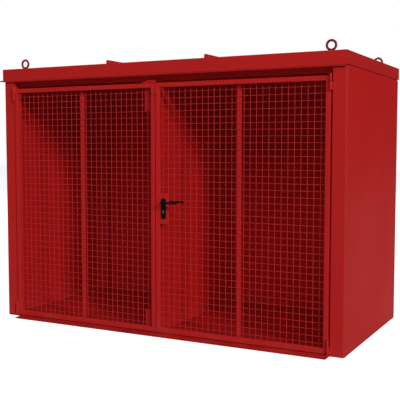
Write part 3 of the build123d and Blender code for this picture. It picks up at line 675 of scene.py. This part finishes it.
class CONTAINER_OT_roof(Operator):
    """Folds the roof tray with its rolled hem"""

    bl_idname = "container.roof"
    bl_label = "Roof Tray"

    def execute(self, context):
        sizes = context.scene.container_sizes
        low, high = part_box("roof_cover")
        middle, span = (low + high) / 2, high - low
        hem_rise, top_round = 0.006, 0.003
        bm = bmesh.new()
        verts = cuboid(bm, low, high)
        top_and_corners = [e for e in edges_of(verts) if max(v.co.z for v in e.verts) > middle.z]
        bottom = [f for f in bm.faces if f.normal.z < -0.9]
        rim = [e for f in bottom for e in f.edges]
        bmesh.ops.delete(bm, geom=bottom, context="FACES_ONLY")
        inward = (1 - 2 * sizes.hem_depth / span.x, 1 - 2 * sizes.hem_depth / span.y, 1.0)
        turned = bmesh.ops.extrude_edge_only(bm, edges=rim)["geom"]
        bmesh.ops.scale(bm, vec=inward, verts=of_kind(turned, bmesh.types.BMVert),
                        space=Matrix.Translation(-middle))
        inner_rim = [e for e in of_kind(turned, bmesh.types.BMEdge) if e.is_boundary]
        hem = bmesh.ops.extrude_edge_only(bm, edges=inner_rim)["geom"]
        bmesh.ops.translate(bm, vec=(0.0, 0.0, hem_rise), verts=of_kind(hem, bmesh.types.BMVert))
        round_edges(bm, rim, sizes.hem_roll, 6)
        round_edges(bm, [e for e in top_and_corners if e.is_valid], top_round, 3)
        tray = finished(bm, "roof_tray", "container", coat("Body Coat"), ("roof_cover",))
        sheet = tray.modifiers.new("Sheet", "SOLIDIFY")
        sheet.thickness = sizes.roof_sheet
        sheet.offset = -1.0
        sheet.use_even_offset = True
        even_normals(tray)
        skirt_lip(sizes, low, high)
        return {"FINISHED"}


class CONTAINER_OT_eyes(Operator):
    """Bends the lifting eyes and seats them on their collars"""

    bl_idname = "container.eyes"
    bl_label = "Lifting Eyes"

    def execute(self, context):
        sizes = context.scene.container_sizes
        roof_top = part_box("lifting_eyes")[0].z
        neck_height, neck_radius, neck_top_radius = 0.009, 0.016, 0.0085
        bm = bmesh.new()
        for x in (-EYE_X, EYE_X):
            for y in (-EYE_Y, EYE_Y):
                foot = Vector((x, y, roof_top))
                centre = above(foot, EYE_RISE)
                profile = bmesh.ops.create_circle(
                    bm, cap_ends=False, segments=14, radius=sizes.eye_rod,
                    matrix=Matrix.Translation(centre + Vector((EYE_RING, 0.0, 0.0))))["verts"]
                bmesh.ops.spin(bm, geom=profile + edges_of(profile), cent=centre, axis=(0.0, 1.0, 0.0),
                               angle=2 * math.pi, steps=40, use_merge=True, use_duplicate=False)
                neck = above(foot, COLLAR_HEIGHT)
                soft_rod(bm, foot, neck, COLLAR_RADIUS, 32, edge=0.0018, segments=3)
                rod(bm, neck, above(neck, neck_height), neck_radius, 24, neck_top_radius)
        finished(bm, "eye_rings", "container", coat("Eye Coat"), ("lifting_eyes",))
        return {"FINISHED"}


class CONTAINER_OT_spout(Operator):
    """Makes the short drain tube at the end of the skirt"""

    bl_idname = "container.spout"
    bl_label = "Drain Spout"

    def execute(self, context):
        sizes = context.scene.container_sizes
        low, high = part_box("drain_spout")
        y, z = (low.y + high.y) / 2, (low.z + high.z) / 2 - sizes.spout_drop
        radius = (high.z - low.z) / 2
        bm = bmesh.new()
        rod(bm, (low.x - sizes.spout_drop, y, z), (high.x, y, z), radius, 24, capped=False)
        tube = finished(bm, "spout_tube", "container", coat("Eye Coat"), ("drain_spout",))
        wall = tube.modifiers.new("Wall", "SOLIDIFY")
        wall.thickness = 0.0015
        wall.offset = -1.0
        return {"FINISHED"}


def knuckle(bm, axis, length, radius, tab_x, tab_y, face_y):
    """Adds a barrel, the tab that holds it, and the weld along the tab's edge."""
    weld_radius, weld_sink, weld_inset = 0.0022, 0.0005, 0.002
    top = above(axis, length)
    soft_rod(bm, axis, top, radius, 24)
    left, right = sorted((axis.x, tab_x))
    soft_box(bm, (left, tab_y, axis.z), (right, face_y, top.z), radius=0.001, segments=2)
    rod(bm, (tab_x, face_y - weld_sink, axis.z + weld_inset), (tab_x, face_y - weld_sink, top.z - weld_inset),
        weld_radius, 8)


class CONTAINER_OT_hinges(Operator):
    """Turns the weld-on hinge barrels, pins, washers and tabs"""

    bl_idname = "container.hinges"
    bl_label = "Hinges"

    def execute(self, context):
        fixed_low, fixed_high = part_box("post_hinge_knuckles")
        hinge_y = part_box("roof_cover")[0].y
        radius = hinge_y - fixed_low.y
        hinge_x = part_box("right_hinge_knuckles")[1].x - radius
        reach = fixed_high.x - hinge_x
        starts = (fixed_low.z, fixed_high.z - KNUCKLE - PIN)
        post_face, leaf_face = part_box("front_posts")[0].y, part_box("left_hinge_stile")[0].y
        washer_radius, washer_play, pin_radius, pin_top = 0.0074, 0.0001, 0.0044, 0.1
        fixed, pins = bmesh.new(), bmesh.new()
        for side in (-1, 1):
            for z in starts:
                axis = Vector((side * hinge_x, hinge_y, z))
                washer_low = above(axis, KNUCKLE + washer_play)
                washer_high = above(axis, KNUCKLE + KNUCKLE_GAP - washer_play)
                soft_rod(pins, washer_low, washer_high, washer_radius, 24, edge=0.0004)
                rod(pins, washer_high, above(axis, pin_top), pin_radius, 16)
                knuckle(fixed, axis, KNUCKLE, radius, side * (hinge_x + TAB_THICKNESS), hinge_y, post_face)
        finished(fixed, "post_hinges", "container", coat("Body Coat"),
                 ("post_hinge_knuckles",))
        finished(pins, "hinge_pins", "container", coat("Body Coat"))
        for side, word in ((-1, "left"), (1, "right")):
            moving = bmesh.new()
            for z in starts:
                axis = Vector((side * hinge_x, hinge_y, z + KNUCKLE + KNUCKLE_GAP))
                knuckle(moving, axis, KNUCKLE - KNUCKLE_GAP, radius, side * (hinge_x - reach),
                        leaf_face - TAB_THICKNESS, leaf_face)
            finished(moving, f"{word}_leaf_hinges", f"{word}_leaf", coat("Frame Coat"),
                     (f"{word}_hinge_knuckles",))
        return {"FINISHED"}


# Pieces of the leaves


class CONTAINER_OT_frames(Operator):
    """Welds the tube frames of both leaves"""

    bl_idname = "container.frames"
    bl_label = "Leaf Frames"

    def execute(self, context):
        sizes = context.scene.container_sizes
        weld_sink, weld_front, weld_back = 0.0005, 0.003, 0.001
        for word in ("left", "right"):
            bm = bmesh.new()
            for part in ("hinge_stile", "meeting_stile"):
                soft_box(bm, *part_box(f"{word}_{part}"), sizes.tube_corner)
            low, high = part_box(f"{word}_leaf_rails")
            top_low, bottom_high = high.z - TOP_RAIL, low.z + BOTTOM_RAIL
            for z0, z1 in ((low.z, bottom_high), (top_low, high.z)):
                verts = cuboid(bm, (low.x, low.y, z0), (high.x, high.y, z1))
                round_edges(bm, along(edges_of(verts), X), sizes.tube_corner, 3)
            for x in (low.x + weld_sink, high.x - weld_sink):
                for z in (bottom_high, top_low):
                    rod(bm, (x, low.y + weld_front, z), (x, high.y - weld_back, z), sizes.weld_bead, 8)
            names = [f"{word}_{part}" for part in ("hinge_stile", "meeting_stile", "leaf_rails")]
            even_normals(finished(bm, f"{word}_leaf_frame", f"{word}_leaf",
                                  coat("Frame Coat"), names))
            bm = bmesh.new()
            soft_box(bm, *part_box(f"{word}_mid_stile"), sizes.tube_corner)
            even_normals(finished(bm, f"{word}_mid_bar", f"{word}_leaf", coat("Frame Coat"),
                                  (f"{word}_mid_stile",)))
        return {"FINISHED"}


def steps_between(start, end, pitch):
    """Places from start to end, one pitch apart."""
    return [start + i * pitch for i in range(round((end - start) / pitch) + 1)]


class CONTAINER_OT_mesh(Operator):
    """Lays the round wires of the welded mesh and their weld nuggets"""

    bl_idname = "container.mesh"
    bl_label = "Wire Mesh"

    def execute(self, context):
        sizes = context.scene.container_sizes
        case_low, case_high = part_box("lock_case")
        for word in ("left", "right"):
            up_low, up_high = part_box(f"{word}_mesh_uprights")
            cross_low, cross_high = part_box(f"{word}_mesh_cross_wires")
            radius = (up_high.y - up_low.y) / 2
            up_y, cross_y = up_low.y + radius, cross_low.y + radius
            columns = steps_between(up_low.x + radius, up_high.x - radius, sizes.wire_pitch)
            rows = steps_between(cross_low.z + radius, cross_high.z - radius, sizes.wire_pitch)
            uprights, crossings, nuggets = bmesh.new(), bmesh.new(), []
            for x in columns:
                cut = word == "right" and x < case_high.x
                spans = [(up_low.z, case_low.z), (case_high.z, up_high.z)] if cut else [(up_low.z, up_high.z)]
                for z0, z1 in spans:
                    rod(uprights, (x, up_y, z0), (x, up_y, z1), radius, sizes.wire_sides)
            for z in rows:
                cut = word == "right" and case_low.z < z < case_high.z
                start = case_high.x if cut else cross_low.x
                rod(crossings, (start, cross_y, z), (cross_high.x, cross_y, z), radius, sizes.wire_sides)
                nuggets += [(x, (up_y + cross_y) / 2, z) for x in columns if x > start]
            for spot in nuggets:
                bmesh.ops.create_icosphere(crossings, subdivisions=1, radius=sizes.nugget_radius,
                                           matrix=Matrix.Translation(Vector(spot)))
            # The wires take the pinker coat, whose tint is painted sheen
            finished(uprights, f"{word}_upright_wires", f"{word}_leaf", coat("Wire Coat"),
                     (f"{word}_mesh_uprights",), smooth=60.0)
            finished(crossings, f"{word}_cross_wires", f"{word}_leaf", coat("Wire Coat"),
                     (f"{word}_mesh_cross_wires",), smooth=60.0)
        return {"FINISHED"}


# Lock and bolts


def handle_plate(bm, low, high, front):
    """Adds one long plate with rounded ends, a bevelled rim and two screws."""
    screw_inset, screw_radius, screw_sink, screw_proud = 0.012, 0.0038, 0.002, 0.0008
    slot_reach, slot_radius, slot_proud = 0.0022, 0.0004, 0.0009
    end_flat, rim_round = 0.0004, 0.0018
    verts = cuboid(bm, low, high)
    round_edges(bm, along(edges_of(verts), Y), (high[X] - low[X] - end_flat) / 2, 14)
    face_y = low[Y] if front < 0 else high[Y]
    rim = [e for e in bm.edges if all(abs(v.co.y - face_y) < 1e-6 for v in e.verts)
           and len(e.link_faces) == 2 and e.calc_face_angle(0.0) > 1.0]
    round_edges(bm, rim, rim_round, 3)
    outward = Vector((0.0, front, 0.0))
    for z in (high[Z] - screw_inset, low[Z] + screw_inset):
        base = Vector(((low[X] + high[X]) / 2, face_y, z))
        soft_rod(bm, base - outward * screw_sink, base + outward * screw_proud, screw_radius, 20,
                 edge=0.0004)
        slot = base + outward * slot_proud
        for angle in (0.0, math.pi / 2):
            arm = Vector((math.cos(angle), 0.0, math.sin(angle))) * slot_reach
            rod(bm, slot - arm, slot + arm, slot_radius, 6)


def bent_lever(bm, root, reach, length, back, radius, bend, side):
    """Sweeps a round bar out from the plate, along the door and back towards it."""
    ring = bmesh.ops.create_circle(
        bm, cap_ends=False, segments=20, radius=radius,
        matrix=Matrix.Translation(root) @ Matrix.Rotation(math.pi / 2, 4, "X"))["verts"]
    edges = edges_of(ring)
    start_edges = list(edges)

    def straight(way):
        made = bmesh.ops.extrude_edge_only(bm, edges=edges)["geom"]
        bmesh.ops.translate(bm, vec=way, verts=of_kind(made, bmesh.types.BMVert))
        return [e for e in of_kind(made, bmesh.types.BMEdge) if e.is_boundary]

    def curve(centre, angle):
        verts = list({v for e in edges for v in e.verts})
        made = bmesh.ops.spin(bm, geom=verts + edges, cent=centre, axis=(0.0, 0.0, 1.0), angle=angle,
                              steps=8, use_merge=False, use_duplicate=False)["geom_last"]
        return of_kind(made, bmesh.types.BMEdge)

    edges = straight(Vector((0.0, side * (reach - bend), 0.0)))
    corner = root + Vector((bend, side * (reach - bend), 0.0))
    edges = curve(corner, -side * math.pi / 2)
    edges = straight(Vector((length - 2 * bend, 0.0, 0.0)))
    corner = root + Vector((length - bend, side * (reach - bend), 0.0))
    edges = curve(corner, -side * math.pi / 2)
    edges = straight(Vector((0.0, -side * (back - bend), 0.0)))
    bmesh.ops.contextual_create(bm, geom=start_edges)
    cap = bmesh.ops.contextual_create(bm, geom=edges)["faces"]
    end_round = 0.003
    round_edges(bm, [e for f in cap for e in f.edges], end_round, 3)


class CONTAINER_OT_handles(Operator):
    """Makes the handle plates, the levers and their collars"""

    bl_idname = "container.handles"
    bl_label = "Handles"

    def execute(self, context):
        low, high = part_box("handle_plates")
        plates = bmesh.new()
        handle_plate(plates, low, (high.x, low.y + PLATE_THICKNESS, high.z), -1)
        handle_plate(plates, (low.x, high.y - PLATE_THICKNESS, low.z), high, 1)
        finished(plates, "long_plates", "right_leaf", black_plastic(), ("handle_plates",))
        centre_x = (low.x + high.x) / 2
        lever_low, lever_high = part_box("outer_lever")
        handle_z = (lever_low.z + lever_high.z) / 2
        bar_radius, collar_lift, collar_height, collar_radius = 0.0089, 0.0004, 0.006, 0.0135
        for node, name, face_y, side in (("outer_lever", "outer_handle", low.y, -1),
                                         ("inner_lever", "inner_handle", high.y, 1)):
            lever_low, lever_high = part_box(node)
            root_y = lever_high.y if side < 0 else lever_low.y
            bar_y = lever_low.y + LEVER_RADIUS if side < 0 else lever_high.y - LEVER_RADIUS
            bm = bmesh.new()
            bent_lever(bm, Vector((centre_x, root_y, handle_z)), abs(bar_y - root_y),
                       lever_high.x - LEVER_RADIUS - centre_x, LEVER_RETURN, bar_radius, LEVER_BEND, side)
            collar = Vector((centre_x, face_y + side * collar_lift, handle_z))
            soft_rod(bm, collar, collar + Vector((0.0, side * collar_height, 0.0)), collar_radius, 28,
                     edge=0.0012, segments=3)
            finished(bm, name, "lever_set", black_plastic(), (node,))
        dress(("lever_spindle",), zinc_metal())
        return {"FINISHED"}


class CONTAINER_OT_cylinder(Operator):
    """Makes the profile cylinder with its plug and keyway"""

    bl_idname = "container.cylinder"
    bl_label = "Lock Cylinder"

    def execute(self, context):
        low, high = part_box("lock_cylinder")
        centre_x, radius = (low.x + high.x) / 2, (high.x - low.x) / 2
        centre_z = high.z - radius
        tail_half, tail_round = 0.005, 0.0045
        plug_radius, plug_sink, plug_proud, keyway_rim, keyway_depth = 0.0064, 0.004, 0.0005, 0.0016, 0.003
        keyway_shape = (0.26, 1.0, 0.9)
        bm = bmesh.new()
        soft_rod(bm, (centre_x, low.y, centre_z), (centre_x, high.y, centre_z), radius, 36, edge=0.0005)
        tail = cuboid(bm, (centre_x - tail_half, low.y, low.z), (centre_x + tail_half, high.y, centre_z))
        under = [e for e in along(edges_of(tail), Y) if all(v.co.z < low.z + 1e-5 for v in e.verts)]
        round_edges(bm, under, tail_round, 6)
        for face_y, side in ((low.y, -1), (high.y, 1)):
            plug = rod(bm, (centre_x, face_y - side * plug_sink, centre_z),
                       (centre_x, face_y + side * plug_proud, centre_z), plug_radius, 28)
            front = max((f for f in {f for v in plug for f in v.link_faces} if len(f.verts) > 6),
                        key=lambda f: f.calc_center_median().y * side)
            bmesh.ops.inset_individual(bm, faces=[front], thickness=keyway_rim, depth=0.0)
            bmesh.ops.scale(bm, vec=keyway_shape, verts=list(front.verts),
                            space=Matrix.Translation(-Vector((centre_x, face_y, centre_z))))
            deep = bmesh.ops.extrude_discrete_faces(bm, faces=[front])["faces"]
            bmesh.ops.translate(bm, vec=(0.0, -side * keyway_depth, 0.0),
                                verts=[v for f in deep for v in f.verts])
        finished(bm, "profile_cylinder", "right_leaf", nickel_metal(), ("lock_cylinder",))
        return {"FINISHED"}


class CONTAINER_OT_bolts(Operator):
    """Turns the shoot bolts with their finger knobs"""

    bl_idname = "container.bolts"
    bl_label = "Shoot Bolts"

    def execute(self, context):
        for node, name, body, knob_side in (("top_bolt", "top_bolt_rod", "top_shoot_bolt", -1),
                                            ("bottom_bolt", "bottom_bolt_rod", "bottom_shoot_bolt", 1)):
            low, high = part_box(node)
            x, radius = (low.x + high.x) / 2, (high.x - low.x) / 2
            y = low.y + radius
            knob_z = low.z + KNOB_INSET if knob_side < 0 else high.z - KNOB_INSET
            knob = Vector((x, high.y - KNOB_RADIUS, knob_z))
            stem_end, stem_radius = knob + Vector((0.0, 0.001, 0.0)), 0.0042
            bm = bmesh.new()
            soft_rod(bm, (x, y, low.z), (x, y, high.z), radius, 24, edge=0.002, segments=3)
            rod(bm, (x, y, knob_z), stem_end, stem_radius, 16)
            ball(bm, knob, KNOB_RADIUS)
            finished(bm, name, body, coat("Frame Coat"), (node,))
        return {"FINISHED"}


# Stage


def studio_floor(scene, studio):
    """Lays the pale floor, which is seen with an even brightness."""
    bm = bmesh.new()
    bmesh.ops.create_grid(bm, x_segments=2, y_segments=2, size=40.0)
    mesh = bpy.data.meshes.new("studio_floor")
    bm.to_mesh(mesh)
    bm.free()
    floor = bpy.data.objects.new("studio_floor", mesh)
    scene.collection.objects.link(floor)
    material, tree, shader, where = blank_material("Studio Floor", 0.9, 0.0)
    tone = tuple(studio.floor_tone)
    pale = blend_colour(tree, noise(tree, where, 0.4), tone, tuple(0.98 * c for c in tone))
    tree.links.new(pale, shader.inputs["Base Color"])
    seen = tree.nodes.new("ShaderNodeLightPath")
    glow = blend_colour(tree, seen.outputs["Is Camera Ray"], (0.0, 0.0, 0.0), (1.0, 1.0, 1.0))
    tree.links.new(glow, shader.inputs["Emission Color"])
    shader.inputs["Emission Strength"].default_value = studio.floor_glow
    mesh.materials.append(material)


def studio_lights(scene, studio):
    """Hangs the key light and the soft boxes, all turned to the middle of the container."""
    aim = Vector((0.0, 0.0, 1.0))
    key_place = aim - Vector(studio.key_travel).normalized() * studio.key_distance
    for name, place, size, power in (
            ("Key", key_place, (studio.key_width, studio.key_height), studio.key_power),
            ("Soft Box", Vector((11.3, -22.1, 17.0)), (24.0, 15.0), studio.fill_power),
            ("Top Box", Vector((1.0, -5.6, 11.6)), (9.0, 4.0), studio.top_power),
            ("Back Box", Vector((-8.0, 13.0, 9.0)), (12.0, 8.0), studio.back_power)):
        light = bpy.data.lights.new(name, "AREA")
        light.shape = "RECTANGLE"
        light.size, light.size_y = size
        light.energy = power
        lamp = bpy.data.objects.new(name, light)
        lamp.location = place
        lamp.rotation_euler = (aim - place).to_track_quat("-Z", "Y").to_euler()
        scene.collection.objects.link(lamp)


def studio_sky(scene, studio):
    """Makes a white backdrop that lights the container only a little."""
    world = bpy.data.worlds.new("Studio")
    scene.world = world
    world.use_nodes = True
    nodes, links = world.node_tree.nodes, world.node_tree.links
    background = nodes["Background"]
    background.inputs["Color"].default_value = (1.0, 1.0, 1.0, 1.0)
    seen = nodes.new("ShaderNodeLightPath")
    level = remap(world.node_tree, seen.outputs["Is Camera Ray"], 0.0, 1.0, studio.sky_strength, 1.0)
    links.new(level, background.inputs["Strength"])


def studio_camera(scene, studio):
    """Stands the camera where the photograph was taken from."""
    camera = bpy.data.cameras.new("Camera")
    camera.lens = studio.lens
    camera.sensor_width = 36.0
    camera.clip_end = 200.0
    holder = bpy.data.objects.new("Camera", camera)
    holder.location = studio.camera_place
    holder.rotation_euler = Vector(studio.camera_aim).to_track_quat("-Z", "Y").to_euler()
    scene.collection.objects.link(holder)
    scene.camera = holder
    scene.view_settings.view_transform = "Standard"


class CONTAINER_OT_stage(Operator):
    """Sets the pale floor, the lights and the camera"""

    bl_idname = "container.stage"
    bl_label = "Stage"

    def execute(self, context):
        for part in (studio_floor, studio_lights, studio_sky, studio_camera):
            part(context.scene, context.scene.container_studio)
        return {"FINISHED"}


class CONTAINER_PT_sidebar(Panel):
    """Lists the pieces of the container"""

    bl_idname = "CONTAINER_PT_sidebar"
    bl_label = "Gas Cylinder Container"
    bl_space_type = "VIEW_3D"
    bl_region_type = "UI"
    bl_category = "Container"

    def draw(self, context):
        for operator in OPERATORS:
            self.layout.operator(operator.bl_idname)
        for settings in (context.scene.container_sizes, context.scene.container_finish,
                         context.scene.container_studio):
            column = self.layout.column()
            for name in settings.__annotations__:
                column.prop(settings, name)


OPERATORS = (
    CONTAINER_OT_sheets, CONTAINER_OT_edges, CONTAINER_OT_posts, CONTAINER_OT_roof, CONTAINER_OT_eyes,
    CONTAINER_OT_spout, CONTAINER_OT_hinges, CONTAINER_OT_frames, CONTAINER_OT_mesh, CONTAINER_OT_handles,
    CONTAINER_OT_cylinder, CONTAINER_OT_bolts, CONTAINER_OT_stage,
)
SETTINGS = (ContainerSizes, ContainerFinish, ContainerStudio)


def register():
    for cls in SETTINGS + OPERATORS + (CONTAINER_PT_sidebar,):
        bpy.utils.register_class(cls)
    bpy.types.Scene.container_sizes = PointerProperty(type=ContainerSizes)
    bpy.types.Scene.container_finish = PointerProperty(type=ContainerFinish)
    bpy.types.Scene.container_studio = PointerProperty(type=ContainerStudio)


def unregister():
    del bpy.types.Scene.container_studio
    del bpy.types.Scene.container_finish
    del bpy.types.Scene.container_sizes
    for cls in reversed(SETTINGS + OPERATORS + (CONTAINER_PT_sidebar,)):
        bpy.utils.unregister_class(cls)


def main():
    """Builds every piece and the stage."""
    register()
    build = bpy.ops.container
    build.sheets()
    build.edges()
    build.posts()
    build.roof()
    build.eyes()
    build.spout()
    build.hinges()
    build.frames()
    build.mesh()
    build.handles()
    build.cylinder()
    build.bolts()
    build.stage()


if __name__ == "__main__":
    main()
